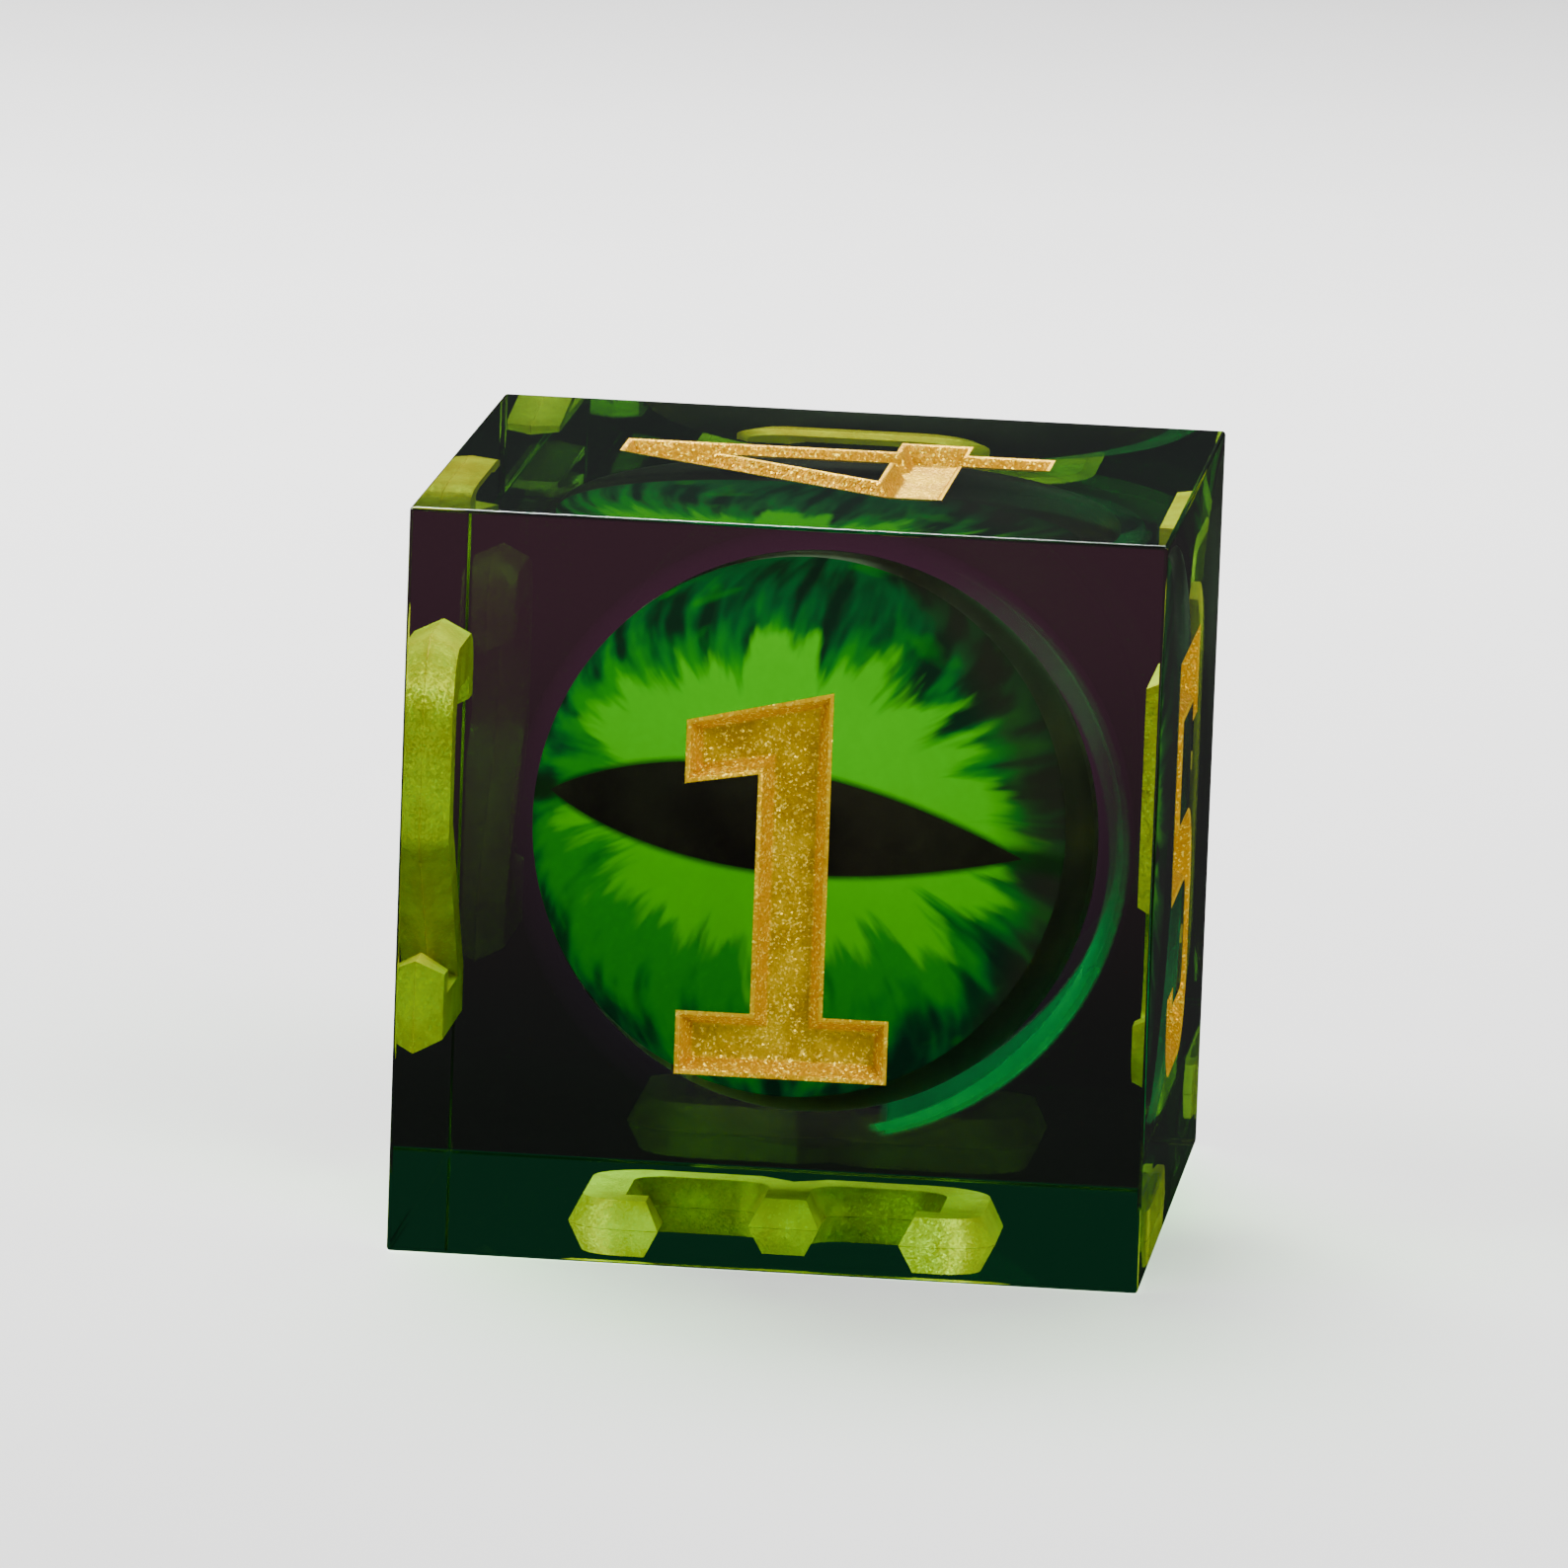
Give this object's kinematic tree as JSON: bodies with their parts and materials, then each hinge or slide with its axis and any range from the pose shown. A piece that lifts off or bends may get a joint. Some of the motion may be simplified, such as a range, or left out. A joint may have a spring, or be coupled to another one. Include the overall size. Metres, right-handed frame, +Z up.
{
  "type": "six-sided die",
  "caption": "Clear green resin cube with engraved gold numerals and a liquid-filled capsule in which a slit-pupilled eyeball turns.",
  "frame": {"origin": "middle of the face that the die stands on, the one with the 3", "axes": "+Z up through the 4, -Y through the 1, +X through the 5"},
  "size_m": [0.016, 0.016, 0.016],
  "materials": {
    "resin": "polished clear green casting resin",
    "gold_paint": "gold paint with fine glitter",
    "capsule": "clear thin plastic",
    "liquid": "clear liquid",
    "eyeball": "gloss black",
    "iris": "printed green iris with rays",
    "pupil": "printed near-black",
    "weight": "plain steel"
  },
  "bodies": {
    "die": {"resin_body": "resin", "numeral_1": "gold_paint", "numeral_2": "gold_paint", "numeral_3": "gold_paint", "numeral_4": "gold_paint", "numeral_5": "gold_paint", "numeral_6": "gold_paint", "capsule_front": "capsule", "capsule_rear": "capsule"},
    "liquid": {"core_liquid": "liquid"},
    "eye": {"eyeball_front": "eyeball", "eyeball_rear": "eyeball", "iris_print": "iris", "pupil_print": "pupil", "eye_weight": "weight"}
  },
  "joints": [
    {"name": "liquid_turn", "type": "hinge", "parent": "die", "child": "liquid", "pos_m": [0.00031, 0, 0.00856], "axis": [-0.7071, 0, 0.7071], "continuous": true},
    {"name": "eye_turn", "type": "hinge", "parent": "liquid", "child": "eye", "pos_m": [0.00031, 0, 0.00856], "axis": [0.7071, 0, 0.7071], "continuous": true}
  ]
}
